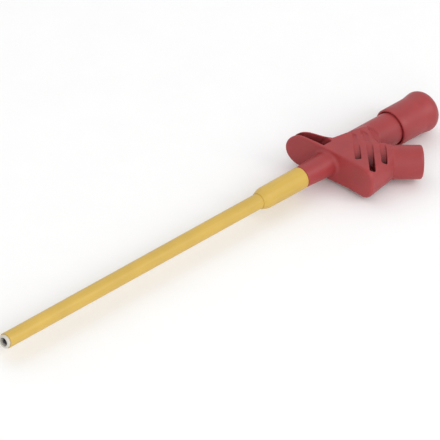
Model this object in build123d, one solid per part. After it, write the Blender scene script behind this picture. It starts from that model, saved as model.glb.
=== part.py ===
from build123d import *
import math
import os

os.makedirs("parts", exist_ok=True)

# A long-reach insulated test clip: a slim insulated tube with two gripping jaws in its mouth, a
# moulded grip with two finger wings, a thumb cap behind that pushes the jaws out, and a 4 mm
# safety socket in an outlet that leaves the grip at an angle.
#
# Frame, in millimetres: the origin is the centre of the tube's mouth. +X runs along the tube towards
# the thumb cap, the socket outlet leans to -Y, and Z is normal to the plane of the wings.

# Clearances
running_gap = 0.05
sliding_gap = 0.12
seat_gap = 0.02

# Insulated tube, its white liner and the sleeve at its root
bore_dia = 2.8
liner_dia = 4.2
liner_proud = 1.0
mouth_chamfer = 0.3
tube_dia = 4.86
tube_root_dia = 4.7
reach = 129.2
tube_in_grip = 2.0
guide_length = 4.0
sleeve_length = 18.7
sleeve_chamfer = 2.3
sleeve_lip = 0.2
sleeve_front_dia = 6.85
sleeve_rear_dia = 7.0
sleeve_rim = 0.35
spigot_dia = 5.8

# Grip: front neck, finger wings, body and rear neck
neck_length = 11.6
neck_front_dia = 6.8
neck_rear_dia = 8.0
neck_fillet = 0.9
wing_half_width = 5.4
upper_wing_reach = 14.4
upper_wing_lean = 3.6
lower_wing_reach = 17.7
lower_wing_lean = 1.0
lower_wing_corner = 4.0
lower_wing_thickness = 1.2
wing_edge = 0.5
wing_front_wall = 0.85
wing_rear_wall = 0.6
wing_slot_floor = 2.35
wing_slot_depth = 3.9
wing_slot_core = 7.8
flare_rim = 0.05
flare_slope = 0.54
flare_knee_dia = 16.8
flare_length = 9.4
body_length = 33.2
rear_neck_root_dia = 10.45
rear_neck_end_dia = 10.2
neck_bore_dia = 8.3

# Socket outlet, measured from where its axis crosses the tube's axis
outlet_angle = 39.0
outlet_setback = 0.7
outlet_dia = 10.5
outlet_root_dia = 11.0
outlet_root = 19.1
outlet_end = 28.7
outlet_edge = 0.6
shroud_dia = 8.2
shroud_floor = 13.0
web_length = 16.6
web_rise = 3.6
web_end_half_thickness = 4.9
web_edge = 2.0

# Gill slots: place along the outlet's axis, distance of the deep end from it, and height of the floor
gill_first = 8.2
gill_pitch = 4.0
gill_ends = (5.5, 10.7, 6.2)
gill_floors = (2.5, 0.6, 0.9)
gill_width = 1.9
gill_core_dia = 9.4
gill_runout = 3.0
gill_corner = 0.7

# Plunger: thumb cap, rod, stop and return spring
stroke = 8.0
rod_dia = 1.5
cap_overlap = 5.2
cap_dia = 12.05
cap_wall = 0.7
cap_flare_length = 3.6
cap_flare_dia = 13.0
cap_dome = 4.2
cap_crown = 3.4
cap_end_gap = 1.0
stem_dia = 6.8
stem_overlap = 4.0
insert_dia = 4.0
insert_length = 9.0
insert_recess = 0.8
insert_grooves = 3
stop_thickness = 0.5
stop_dia = 3.8
stop_gap = 0.3
chamber_dia = 4.4
spring_wire = 0.55
spring_dia = 6.4
spring_turns = 7
washer_thickness = 0.5
thrust_dia = 7.9
guide_ring_length = 2.4

# Current path: block, rubbing cage and socket sleeve
block_dia = 6.4
block_length = 9.0
block_setback = 11.2
block_washer_thickness = 0.5
cage_dia = 2.6
cage_length = 4.0
cage_slots = 6
socket_bore = 4.0
sleeve_wall_dia = 5.0
socket_recess = 1.3
socket_depth = 17.4
socket_shoulder = 9.0
tail_dia = 3.2
tail_end = 4.4
tail_washer_thickness = 0.4
tower_dia = 5.9
tower_flange = 1.5

# Jaws, their pins and their carrier, with the plunger at rest
jaw_tip = 0.35
jaw_length = 11.0
jaw_strip = 0.4
jaw_parting = 0.05
jaw_half_height = 0.7
jaw_tip_half_height = 0.5
jaw_tip_length = 3.0
jaw_tip_thickness = 0.65
jaw_teeth = 4
jaw_tooth_depth = 0.22
jaw_eye_dia = 0.84
pin_dia = 0.44
pin_offset = 0.48
carrier_dia = 2.6
carrier_length = 6.0
carrier_slot_length = 2.6

# Places that follow from the sizes above
guard_x = reach + neck_length
outlet_x = guard_x + outlet_setback
rear_neck_end = guard_x + body_length
tube_end = reach + tube_in_grip
block_rear = guard_x + block_setback
block_front = block_rear - block_length
pocket_front = block_front - block_washer_thickness
stop_front = pocket_front - stop_thickness
chamber_start = stop_front - stroke - stop_gap
cap_rim = rear_neck_end - cap_overlap
cap_floor = rear_neck_end + stroke + cap_end_gap
cap_end = cap_floor + cap_crown
cap_flare_end = cap_end - cap_dome
cap_straight_end = cap_flare_end - cap_flare_length
seat_rear = block_rear + washer_thickness
stem_front = rear_neck_end - stem_overlap
thrust_front = stem_front - washer_thickness
insert_front = stem_front + insert_recess
pivot_x = jaw_tip + jaw_length

AXIS = Plane(origin=(0, 0, 0), x_dir=(0, 1, 0), z_dir=(1, 0, 0))
lean = math.radians(outlet_angle)
OUTLET = Plane(
    origin=(outlet_x, 0, 0),
    x_dir=(math.sin(lean), math.cos(lean), 0),
    z_dir=(math.cos(lean), -math.sin(lean), 0),
)


def turned(outline, plane=AXIS):
    """A turned solid from (radius, distance along the axis) corners."""
    face = make_face(Polyline(*[(r, 0, z) for r, z in outline], close=True))
    return plane * revolve(face, Axis.Z)


def ring(start, end, outer_dia, inner_dia=0.0, plane=AXIS):
    """A plain cylinder or tube between two places on an axis."""
    outer = outer_dia / 2
    inner = inner_dia / 2
    return turned([(inner, start), (outer, start), (outer, end), (inner, end)], plane)


def cone(start, end, start_dia, end_dia, plane=AXIS):
    """A solid taper between two places on an axis."""
    return turned([(0, start), (start_dia / 2, start), (end_dia / 2, end), (0, end)], plane)


def save(node, shape):
    """Writes one node's STEP file."""
    export_step(shape, os.path.join("parts", node + ".step"))


def liner_tube():
    """White inner tube, proud of the yellow one, with a chamfered mouth."""
    r = liner_dia / 2
    b = bore_dia / 2
    return turned([
        (b + mouth_chamfer, 0),
        (r - mouth_chamfer, 0),
        (r, mouth_chamfer),
        (r, tube_end),
        (b, tube_end),
        (b, mouth_chamfer),
    ])


def insulating_tube():
    """Yellow outer tube, tapered where it is held in the sleeve."""
    b = liner_dia / 2
    return turned([
        (b, liner_proud),
        (tube_dia / 2, liner_proud),
        (tube_dia / 2, reach - sleeve_length),
        (tube_root_dia / 2, tube_end),
        (b, tube_end),
    ])


def root_sleeve():
    """Yellow sleeve with a long front chamfer and a spigot that plugs into the grip."""
    start = reach - sleeve_length
    b = tube_root_dia / 2 + seat_gap
    return turned([
        (tube_dia / 2 + seat_gap, start),
        (tube_dia / 2 + sleeve_lip, start),
        (sleeve_front_dia / 2, start + sleeve_chamfer),
        (sleeve_rear_dia / 2, reach - sleeve_rim),
        (sleeve_rear_dia / 2 - sleeve_rim / 2, reach),
        (spigot_dia / 2, reach),
        (spigot_dia / 2, chamber_start),
        (b, chamber_start),
        (b, tube_end),
    ])


def wing_outline(top_centre):
    """Outline of the wings seen along the tube: half round above, two rounded corners below."""
    w = wing_half_width
    low = -lower_wing_reach
    r = lower_wing_corner
    bend = r * (1 - math.sqrt(0.5))
    side = w * math.sqrt(0.5)
    return Wire([
        Edge.make_three_point_arc((top_centre + w, 0), (top_centre + side, side), (top_centre, w)),
        Edge.make_line((top_centre, w), (low + r, w)),
        Edge.make_three_point_arc((low + r, w), (low + bend, w - bend), (low, w - r)),
        Edge.make_line((low, w - r), (low, r - w)),
        Edge.make_three_point_arc((low, r - w), (low + bend, bend - w), (low + r, -w)),
        Edge.make_line((low + r, -w), (top_centre, -w)),
        Edge.make_three_point_arc((top_centre, -w), (top_centre + side, -side), (top_centre + w, 0)),
    ])


def front_neck():
    """Tapered neck in front of the wings, with a concave fillet onto them."""
    front = neck_front_dia / 2
    rear = neck_rear_dia / 2
    arc_start = guard_x - neck_fillet
    profile = Wire([
        Edge.make_line((0, 0, reach), (front, 0, reach)),
        Edge.make_line((front, 0, reach), (rear, 0, arc_start)),
        Edge.make_three_point_arc(
            (rear, 0, arc_start),
            (rear + neck_fillet * 0.293, 0, arc_start + neck_fillet * 0.707),
            (rear + neck_fillet, 0, guard_x + 0.1),
        ),
        Edge.make_line((rear + neck_fillet, 0, guard_x + 0.1), (0, 0, guard_x + 0.1)),
        Edge.make_line((0, 0, guard_x + 0.1), (0, 0, reach)),
    ])
    return AXIS * revolve(make_face(profile), Axis.Z)


def wing_front(offset=0.0):
    """Front line of both wings seen from the side: it leans forward above and back below."""
    x = guard_x + offset
    low = -lower_wing_reach - 1
    top = upper_wing_reach + 1
    return Bezier(
        (x + lower_wing_lean, low),
        (x + 1.2 * lower_wing_lean, low / 3),
        (x - 0.14 * upper_wing_lean, top / 3),
        (x - upper_wing_lean, top),
    )


def flare(offset=0.0):
    """Round concave solid behind the wings: a cone that bends into the rear neck."""
    big = upper_wing_reach + 3
    knee = flare_knee_dia / 2
    small = rear_neck_root_dia / 2
    start = guard_x + offset - 12
    rim_x = guard_x + offset + flare_rim - flare_slope * 3
    knee_x = guard_x + offset + flare_rim + flare_slope * (upper_wing_reach - knee)
    end = guard_x + offset + flare_length
    profile = Wire([
        Edge.make_line((0, 0, start), (big, 0, start)),
        Edge.make_line((big, 0, start), (big, 0, rim_x)),
        Edge.make_line((big, 0, rim_x), (knee, 0, knee_x)),
        Edge.make_spline(
            [(knee, 0, knee_x), (small, 0, end)],
            tangents=[(-1, 0, flare_slope), (0, 0, 1)],
        ),
        Edge.make_line((small, 0, end), (0, 0, end)),
        Edge.make_line((0, 0, end), (0, 0, start)),
    ])
    return AXIS * revolve(make_face(profile), Axis.Z)


def behind_front(offset, back):
    """Slab as wide as the wings, from their front line to a flat back."""
    top = upper_wing_reach + 1
    low = -lower_wing_reach - 1
    front = wing_front(offset)
    side = make_face([
        front,
        Line(front @ 1, (back, top)),
        Line((back, top), (back, low)),
        Line((back, low), front @ 0),
    ])
    half = wing_half_width + 1
    return extrude(Pos(0, 0, -half) * side, amount=2 * half)


def wings():
    """Both wings with the concave flare behind the upper one, rounded along their front rim."""
    outline = make_face(wing_outline(upper_wing_reach - wing_half_width))
    prism = AXIS * extrude(Pos(0, 0, guard_x - 6) * outline, amount=flare_length + 6)
    upper_room = Pos(guard_x, upper_wing_reach - web_rise, 0) * Box(
        3 * flare_length, 2 * upper_wing_reach, 4 * wing_half_width
    )
    lower_room = Pos(guard_x, -lower_wing_reach, 0) * Box(
        2 * lower_wing_thickness, 2 * lower_wing_reach, 4 * wing_half_width
    )
    body = behind_front(0, guard_x + flare_length) & prism
    rim = body.faces().sort_by(Axis.X)[0].edges()
    return fillet(rim, wing_edge) & ((flare() & upper_room) + lower_room)


def gusset():
    """Body under the tube's axis: lofts from the lower wing to the round root of the outlet."""
    start = AXIS * (Pos(0, 0, guard_x + lower_wing_thickness) * wing_outline(0))
    r = outlet_root_dia / 2
    turns = (0, 90, 132, 166, 194, 228, 270, 360)
    arcs = []
    for first, last in zip(turns, turns[1:]):
        arcs.append(Edge.make_circle(r, start_angle=first, end_angle=last))
    end = OUTLET * (Pos(0, 0, outlet_root) * Wire(arcs))
    return loft([make_face(start), make_face(end)])


def gill(place, end, floor):
    """One slot cutter: deep beside the lower wing, then its floor rises round the outlet's core."""
    surface = outlet_root_dia / 2
    core = gill_core_dia / 2
    turn = math.acos(floor / core)
    profile = make_face([
        Line((-end, outlet_dia), (-end, floor)),
        Line((-end, floor), (-core * math.sin(turn), floor)),
        ThreePointArc(
            (-core * math.sin(turn), floor),
            (-core * math.sin(turn / 2), core * math.cos(turn / 2)),
            (0, core),
        ),
        Line((0, core), (gill_runout, surface)),
        Line((gill_runout, surface), (gill_runout, outlet_dia)),
        Line((gill_runout, outlet_dia), (-end, outlet_dia)),
    ])
    cutter = extrude(profile, amount=gill_width / 2, both=True)
    corners = cutter.edges().filter_by(Axis.Y).sort_by(Axis.X)[:2]
    return OUTLET * (Pos(0, 0, place) * fillet(corners, gill_corner))


def web():
    """Web in the angle between the rear neck and the outlet, rounded at its open end."""
    start = outlet_x + lower_wing_thickness
    end = outlet_x + web_length
    root = OUTLET.from_local_coords((0, 0, outlet_root))
    low = root.Y
    sections = [
        (start, web_rise, wing_half_width),
        (end, 0, web_end_half_thickness),
    ]
    faces = []
    for x, top, half in sections:
        outline = Polyline((top, half), (low, half), (low, -half), (top, -half), close=True)
        faces.append(AXIS * (Pos(0, 0, x) * make_face(outline)))
    wedge = loft(faces)
    room = make_face(Polyline(
        (outlet_x, web_rise), (end, web_rise), (end, 0), (root.X, root.Y),
        (outlet_x, root.Y / 2), close=True
    ))
    wedge = wedge & extrude(room, amount=2 * wing_half_width, both=True)
    open_end = wedge.faces().sort_by(Axis.X)[-1]
    return fillet(open_end.edges().filter_by(Axis.Z, reverse=True), web_edge)


def outlet():
    """Round outlet with a rounded rim, still without its bores."""
    start = outlet_root - outlet_dia
    body = Pos(0, 0, (start + outlet_end) / 2) * Cylinder(outlet_dia / 2, outlet_end - start)
    rim = body.edges().sort_by(Axis.Z)[-1]
    return OUTLET * fillet(rim, outlet_edge)


def housing():
    """Red grip moulding with its bores."""
    body = front_neck() + wings() + gusset() + web() + outlet()
    body += cone(guard_x, rear_neck_end, rear_neck_root_dia, rear_neck_end_dia)
    for i, (end, floor) in enumerate(zip(gill_ends, gill_floors)):
        cutter = gill(gill_first + i * gill_pitch, end, floor)
        body -= cutter
        body -= mirror(cutter, Plane.XY)
    body -= wing_slot()
    body -= ring(reach - 1, chamber_start, spigot_dia + 2 * seat_gap)
    body -= ring(chamber_start - 1, pocket_front + 1, chamber_dia)
    body -= ring(pocket_front, block_rear + 1, block_dia)
    body -= ring(block_rear, rear_neck_end + 1, neck_bore_dia)
    body -= ring(shroud_floor, outlet_end + 1, shroud_dia, 0, OUTLET)
    body -= ring(socket_shoulder, shroud_floor + 1, sleeve_wall_dia + 2 * seat_gap, 0, OUTLET)
    body -= ring(0, socket_shoulder + 1, tail_dia + 2 * seat_gap, 0, OUTLET)
    return body


def wing_slot():
    """Slot between the upper wing's two walls, which stops at the core round the tube's axis."""
    room = Pos(guard_x, wing_slot_floor + upper_wing_reach, 0) * Box(
        4 * wing_slot_depth, 2 * upper_wing_reach, 4 * wing_half_width
    )
    slot = behind_front(wing_front_wall, guard_x + wing_slot_depth) & room & flare(-wing_rear_wall)
    return slot - ring(guard_x - 2, guard_x + wing_slot_depth + 1, wing_slot_core)


def thumb_cap():
    """Red push cap: a thin sleeve over the rear neck, flared and domed, with a stem inside."""
    outer = cap_dia / 2
    inner = outer - cap_wall
    big = cap_flare_dia / 2
    stem = stem_dia / 2
    hole = insert_dia / 2
    insert_end = insert_front + insert_length
    round_arc = 4 / 3 * (math.sqrt(2) - 1)
    dome = Bezier(
        (big, cap_flare_end),
        (big, cap_flare_end + round_arc * cap_dome),
        (round_arc * big, cap_end),
        (0, cap_end),
    )
    outline = make_face([
        Line((inner, cap_rim), (outer - 0.2, cap_rim)),
        Line((outer - 0.2, cap_rim), (outer, cap_rim + 0.2)),
        Line((outer, cap_rim + 0.2), (outer, cap_straight_end)),
        Spline(
            (outer, cap_straight_end),
            (big, cap_flare_end),
            tangents=[(0, 1), (0.12, 1)],
        ),
        dome,
        Line((0, cap_end), (0, insert_end)),
        Line((0, insert_end), (hole, insert_end)),
        Line((hole, insert_end), (hole, stem_front)),
        Line((hole, stem_front), (stem, stem_front)),
        Line((stem, stem_front), (stem, cap_floor)),
        Line((stem, cap_floor), (inner, cap_floor)),
        Line((inner, cap_floor), (inner, cap_rim)),
    ])
    upright = Plane(origin=(0, 0, 0), x_dir=(1, 0, 0), z_dir=(0, -1, 0))
    return AXIS * revolve(upright * outline, Axis.Z)


def push_rod():
    """Round rod from the jaw carrier to the cap's insert, rounded at its front end."""
    start = pivot_x + carrier_slot_length + 0.6
    end = insert_front + insert_length - 0.5
    return ring(start, end, rod_dia)


def stop_ring():
    """Open retaining ring on the rod: it rests on the block's washer when the clip is closed."""
    body = ring(stop_front, pocket_front, stop_dia, rod_dia)
    gap = Pos((stop_front + pocket_front) / 2, stop_dia / 2, 0) * Box(2, stop_dia - rod_dia * 0.4, 0.9)
    return body - gap


def contact_block():
    """Brass block round the rod, bored for the cage and at an angle for the socket's tail."""
    body = ring(block_front, block_rear, block_dia, rod_dia + 4 * sliding_gap)
    body -= ring(block_rear - cage_length - 0.4, block_rear + 1, cage_dia)
    body -= ring(tail_end, socket_shoulder + 2, tail_dia, 0, OUTLET)
    return body


def contact_cage():
    """Slotted bronze cage in the block, whose bowed bars rub on the rod."""
    start = block_rear - cage_length - 0.4 + seat_gap
    end = block_rear - seat_gap
    r = rod_dia / 2 + running_gap
    outer = cage_dia / 2
    middle = (start + end) / 2
    body = turned([
        (outer - 0.15, start),
        (outer, start),
        (outer, start + 0.5),
        (r + 0.15, middle),
        (outer, end - 0.5),
        (outer, end),
        (outer - 0.15, end),
        (outer - 0.15, end - 0.5),
        (r, middle),
        (outer - 0.15, start + 0.5),
    ])
    for i in range(cage_slots):
        slot = Pos(0, cage_dia / 2, middle) * Box(0.35, cage_dia, cage_length - 1.2)
        body -= AXIS * (Rot(0, 0, 360 / cage_slots * i) * slot)
    return body


def socket_sleeve():
    """Turned socket: 4 mm bore towards the outlet's mouth, tail screwed into the block."""
    b = socket_bore / 2
    r = sleeve_wall_dia / 2
    mouth = outlet_end - socket_recess
    floor = mouth - socket_depth
    shoulder = socket_shoulder + tail_washer_thickness
    return turned([
        (0, tail_end),
        (tail_dia / 2 - 0.3, tail_end),
        (tail_dia / 2, tail_end + 0.3),
        (tail_dia / 2, shoulder),
        (r, shoulder),
        (r, mouth - 0.3),
        (r - 0.2, mouth),
        (b + 0.2, mouth),
        (b, mouth - 0.2),
        (b, floor),
        (0, floor),
    ], OUTLET)


def socket_insulator():
    """Insulating tower round the socket sleeve, with a flange on the shroud's floor."""
    r = tower_dia / 2
    b = sleeve_wall_dia / 2 + seat_gap
    mouth = outlet_end - socket_recess + 0.3
    return turned([
        (b, shroud_floor),
        (shroud_dia / 2 - seat_gap, shroud_floor),
        (shroud_dia / 2 - seat_gap, shroud_floor + tower_flange),
        (r, shroud_floor + tower_flange),
        (r, mouth - 0.4),
        (r - 0.2, mouth),
        (b, mouth),
    ], OUTLET)


def return_spring():
    """Compression spring between its two washers, around the rod."""
    radius = (spring_dia - spring_wire) / 2
    start = seat_rear + spring_wire / 2 + seat_gap
    height = thrust_front - seat_rear - spring_wire - 2 * seat_gap
    path = Helix(pitch=height / spring_turns, height=height, radius=radius)
    section = Plane(origin=path @ 0, z_dir=path % 0) * RegularPolygon(spring_wire / 2, 8)
    return AXIS * (Pos(0, 0, start) * sweep(section, path=path))


def cap_insert():
    """Knurled brass insert in the cap's stem, with the rod fixed in it."""
    r = insert_dia / 2
    start = insert_front
    end = insert_front + insert_length
    body = ring(start, end, insert_dia)
    groove_pitch = insert_length / (insert_grooves + 1)
    for i in range(insert_grooves):
        place = start + groove_pitch * (i + 1)
        body -= ring(place - 0.3, place + 0.3, insert_dia + 1, insert_dia - 0.5)
    body -= ring(start - 1, end - 0.5, rod_dia)
    return body


def jaw_carrier():
    """Brass head on the rod, with a slot for the jaws and the pins through its cheeks."""
    start = pivot_x - 0.7
    end = start + carrier_length
    body = ring(start, end, carrier_dia)
    slot_end = pivot_x + carrier_slot_length - 0.7
    slot = Pos((start + slot_end) / 2, 0, 0) * Box(
        slot_end - start + 0.001, carrier_dia + 1, 2 * (jaw_half_height + running_gap)
    )
    body -= slot
    body -= ring(pivot_x + carrier_slot_length + 0.6, end + 1, rod_dia)
    for side in (-1, 1):
        body -= Pos(pivot_x, side * pin_offset, 0) * Cylinder(pin_dia / 2, carrier_dia + 1)
    return body


def jaw_pins():
    """The two cross pins, one for each jaw."""
    pins = []
    reach_z = math.sqrt((carrier_dia / 2) ** 2 - (pin_offset + pin_dia / 2) ** 2) - 0.02
    for side in (-1, 1):
        pins.append(Pos(pivot_x, side * pin_offset, 0) * Cylinder(pin_dia / 2, 2 * reach_z))
    return Compound(children=pins)


def jaw(side):
    """One spring-steel jaw in the wings' plane: eye, thin strip and a toothed tip."""
    strip_low = jaw_parting
    strip_high = jaw_parting + jaw_strip
    tip_high = jaw_parting + jaw_tip_thickness
    tip_end = jaw_tip + jaw_tip_length
    corners = [
        (pivot_x, strip_low),
        (tip_end, strip_low),
    ]
    tooth_pitch = (jaw_tip_length - 0.4) / jaw_teeth
    for i in range(jaw_teeth):
        x = tip_end - 0.2 - i * tooth_pitch
        corners.append((x, strip_low))
        corners.append((x - tooth_pitch * 0.75, strip_low + jaw_tooth_depth))
        corners.append((x - tooth_pitch * 0.8, strip_low))
    corners += [
        (jaw_tip, strip_low),
        (jaw_tip, tip_high - 0.3),
        (jaw_tip + 0.3, tip_high),
        (tip_end - 0.6, tip_high),
        (tip_end, strip_high),
        (pivot_x, strip_high),
    ]
    strip = extrude(make_face(Polyline(*corners, close=True)), amount=jaw_half_height, both=True)
    eye = Pos(pivot_x, pin_offset, 0) * Cylinder(jaw_eye_dia / 2, 2 * jaw_half_height)
    body = strip + eye
    narrow = Pos(jaw_tip, 0, 0) * Box(2 * (jaw_tip_length + 0.4), 4, 4)
    keep = Pos(jaw_tip, 0, 0) * Box(2 * (jaw_tip_length + 0.4), 4, 2 * jaw_tip_half_height)
    body -= narrow - keep
    body -= Pos(pivot_x, pin_offset, 0) * Cylinder(pin_dia / 2 + 0.01, 4)
    return body if side > 0 else mirror(body, Plane.XZ)


save("liner_tube", liner_tube())
save("insulating_tube", insulating_tube())
save("root_sleeve", root_sleeve())
save("housing", housing())
save("thumb_cap", thumb_cap())
save("push_rod", push_rod())
save("rod_guide", ring(tube_end - guide_length, tube_end, bore_dia, rod_dia + 2 * running_gap))
save("stop_ring", stop_ring())
save("block_washer", ring(pocket_front, block_front, block_dia, rod_dia + 4 * sliding_gap))
save("contact_block", contact_block())
save("contact_cage", contact_cage())
save("socket_sleeve", socket_sleeve())
save("tail_washer", ring(
    socket_shoulder, socket_shoulder + tail_washer_thickness, sleeve_wall_dia, tail_dia, OUTLET
))
save("socket_insulator", socket_insulator())
save("spring_seat", ring(block_rear, seat_rear, neck_bore_dia - 0.1, rod_dia + 4 * sliding_gap))
save("return_spring", return_spring())
save("thrust_washer", ring(thrust_front, stem_front, thrust_dia, rod_dia))
save("cap_insert", cap_insert())
save("guide_ring", ring(
    rear_neck_end - guide_ring_length, rear_neck_end, neck_bore_dia, stem_dia + 2 * running_gap
))
save("jaw_carrier", jaw_carrier())
save("jaw_pins", jaw_pins())
save("jaw_left", jaw(1))
save("jaw_right", jaw(-1))
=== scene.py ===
import bmesh
import bpy
import math
import numpy as np
from mathutils import Matrix, Vector


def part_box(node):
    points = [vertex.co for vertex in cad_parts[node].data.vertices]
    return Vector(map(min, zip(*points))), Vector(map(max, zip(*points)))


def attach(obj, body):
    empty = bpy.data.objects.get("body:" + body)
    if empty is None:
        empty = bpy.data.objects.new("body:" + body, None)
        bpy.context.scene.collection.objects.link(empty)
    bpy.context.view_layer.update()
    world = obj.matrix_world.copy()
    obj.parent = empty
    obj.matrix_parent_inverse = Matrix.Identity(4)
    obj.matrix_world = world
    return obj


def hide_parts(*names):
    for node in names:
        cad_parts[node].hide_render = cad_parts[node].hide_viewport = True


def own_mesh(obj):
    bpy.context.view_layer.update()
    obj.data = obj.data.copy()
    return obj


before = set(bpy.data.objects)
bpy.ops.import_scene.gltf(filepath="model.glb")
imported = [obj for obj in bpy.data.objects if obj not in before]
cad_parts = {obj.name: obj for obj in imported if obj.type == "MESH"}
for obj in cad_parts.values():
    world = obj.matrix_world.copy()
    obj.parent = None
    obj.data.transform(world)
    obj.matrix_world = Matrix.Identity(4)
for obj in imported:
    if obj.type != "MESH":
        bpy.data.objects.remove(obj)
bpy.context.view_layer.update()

bl_info = {
    "name": "Insulated test clip",
    "version": (1, 0, 0),
    "blender": (4, 5, 0),
    "location": "3D View > Sidebar > Test clip",
    "description": "Dresses the packed model of a long-reach insulated test clip",
    "category": "Object",
}

MM = 0.001


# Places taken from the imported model, in millimetres

def limits(node):
    """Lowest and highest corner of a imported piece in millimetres, as two arrays."""
    low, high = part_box(node)
    return np.array(low) / MM, np.array(high) / MM


LINER_LOW, LINER_HIGH = limits("liner_tube")
TUBE_LOW, TUBE_HIGH = limits("insulating_tube")
SLEEVE_LOW, SLEEVE_HIGH = limits("root_sleeve")
GRIP_LOW, GRIP_HIGH = limits("housing")
CAP_LOW, CAP_HIGH = limits("thumb_cap")
SPRING_LOW, SPRING_HIGH = limits("return_spring")
ROD_LOW, ROD_HIGH = limits("push_rod")


# Sizes of the tubes that no box gives, in millimetres

SEAT_GAP = 0.02
SLEEVE_LIP = 0.2
SLEEVE_SEAM = 0.3
SLEEVE_SEAM_DEPTH = 0.18


# Sizes of the grip, in millimetres: reaches and heights are measured from the tube's axis, and places
# along the tube from the wings' front face, unless a line says otherwise. A cosine turns a distance
# along the tube or in height into one square to a leaning face.

UPPER_REACH = 14.4
UPPER_LEAN = 3.6
UPPER_FOOT = 3.6
LOWER_REACH = 17.7
LOWER_LEAN = 1.0
LOWER_CORNER = 4.0
LOWER_THICKNESS = 1.2
RIM_HEIGHTS = (-9.0, -1.5)
RIM_ROUNDINGS = (1.3, 0.45)
FRONT_COSINE = 0.97

FLARE_RIM = 0.05
FLARE_SLOPE = 0.54
FLARE_COSINE = 0.86
FLARE_KNEE_RADIUS = 8.4
FLARE_KNEE_HANDLE = (2.38, 1.28)
FLARE_NECK_RADIUS = 5.2
FLARE_BEND = 6.85
FLARE_LENGTH = 9.4

SLOT_FRONT_WALL = 0.85
SLOT_REAR_WALL = 0.6
SLOT_FLOOR = 2.35
SLOT_DEPTH = 3.9
SLOT_CORE_RADIUS = 3.9

WEB_FRONT = 3.5
WEB_LENGTH = 16.6
WEB_RISE = 3.6
WEB_THINNING = 0.5
WEB_SHORT_OF_ROOT = 0.5
WEB_FALL_START = 2.0
WEB_FALL_LENGTH = 15.3
WEB_FOOT = 6.0
WEB_FOOT_SLOPE = 0.405
WEB_REAR_SLOPE = 0.1

# Necks: ends on the tube's axis, from its mouth, and radii at both ends
NECK_START = 129.2
NECK_RADII = (3.4, 4.02)
NECK_OVERLAP = 1.0
REAR_NECK_END = 174.0
REAR_NECK_RADII = (5.225, 5.1)
REAR_NECK_START = 3.0

# Outlet: places along its own axis, from where it crosses the tube's, and radii
OUTLET_START = 8.0
OUTLET_ROOT = 19.1
OUTLET_RADIUS = 5.25
OUTLET_ROOT_RADIUS = 5.5
ROOT_BULGE = 0.1

# Gill slots as (place along the outlet's axis, distance of the deep end from it, height of the floor)
GILLS = ((8.2, 5.5, 2.5), (12.2, 10.7, 0.6), (16.2, 6.5, 0.9))
GILL_WIDTH = 1.9
GILL_LEAN = 0.05
GILL_CORE_RADIUS = 4.7
GILL_RISE = 0.8
GILL_RUNOUT = 3.0
GILL_CORNER = 0.6
GILL_END_SLANT = 0.2
GILL_COSINE = 0.97

# Channels over the shoulder as (gill's place, step's first t and q, step's last t and q, step's bow),
# with t along the outlet's axis and q across it
CHANNELS = (
    (8.2, 7.5, 7.6, 9.0, 6.6, 0.1),
    (12.2, 10.2, 9.0, 12.6, 6.9, 0.35),
    (16.2, 12.7, 11.1, 16.6, 8.2, 0.45),
)

# Channels: where they start across the outlet's axis, their sides, and their depth at the start and
# how much more it is at the step
CHANNEL_START = 1.5
CHANNEL_HALF_WIDTH = 0.8
CHANNEL_SIDE = 0.5
CHANNEL_SHALLOW = 0.16
CHANNEL_DEEPER = 0.32
CHANNEL_STEP = 0.3
SHOULDER_HEIGHT = 3.2

# Bores as (start, end, radius), along the tube's axis from its mouth and along the outlet's
TUBE_BORES = ((128.0, 133.7, 2.92), (133.0, 143.0, 2.2), (142.5, 152.5, 3.2), (152.0, 175.0, 4.15))
OUTLET_BORES = ((13.0, 30.0, 4.1), (9.0, 14.0, 2.52), (2.0, 10.0, 1.62))

# Soft hollows where pieces of the grip join, and roundings of its edges
NECK_HOLLOW = 1.2
SADDLE_HOLLOW = 0.8
WEB_HOLLOW = 2.6
OUTLET_HOLLOW = 0.2
FLARE_ROUNDING = 0.35
ROOT_ROUNDING = 0.25
REAR_NECK_ROUNDING = 0.25
OUTLET_ROUNDING = 0.9
WEB_ROUNDING = 2.4
SLOT_ROUNDING = 0.25
GILL_ROUNDING = 0.3
BORE_ROUNDING = 0.2


# Sizes inside the thumb cap, in millimetres

STEM_RADIUS = 3.4
STEM_LENGTH = 13.0
STEM_HOLE_RADIUS = 2.0
STEM_HOLE_DEPTH = 9.8
CROWN_WALL = 3.4
CAP_INNER_CHAMFER = 0.15
CAP_RIM_DEPTH = 0.25
CAP_RIM_WIDTH = 0.22


# Sizes of the socket and its tower, in millimetres along the outlet's axis

SOCKET_RECESS = 1.3
SOCKET_DEPTH = 17.4
SOCKET_BORE_RADIUS = 2.0
SOCKET_RADIUS = 2.5
SOCKET_SHOULDER = 9.4
DRILL_POINT = 0.5
TAIL_END = 4.4
TAIL_RADIUS = 1.6
TOWER_START = 13.0
TOWER_FLANGE_END = 14.5
TOWER_FLANGE_RADIUS = 4.1
TOWER_RADIUS = 2.95
TOWER_PROUD = 0.3


# Sizes, colours and stage that a user may change

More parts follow.
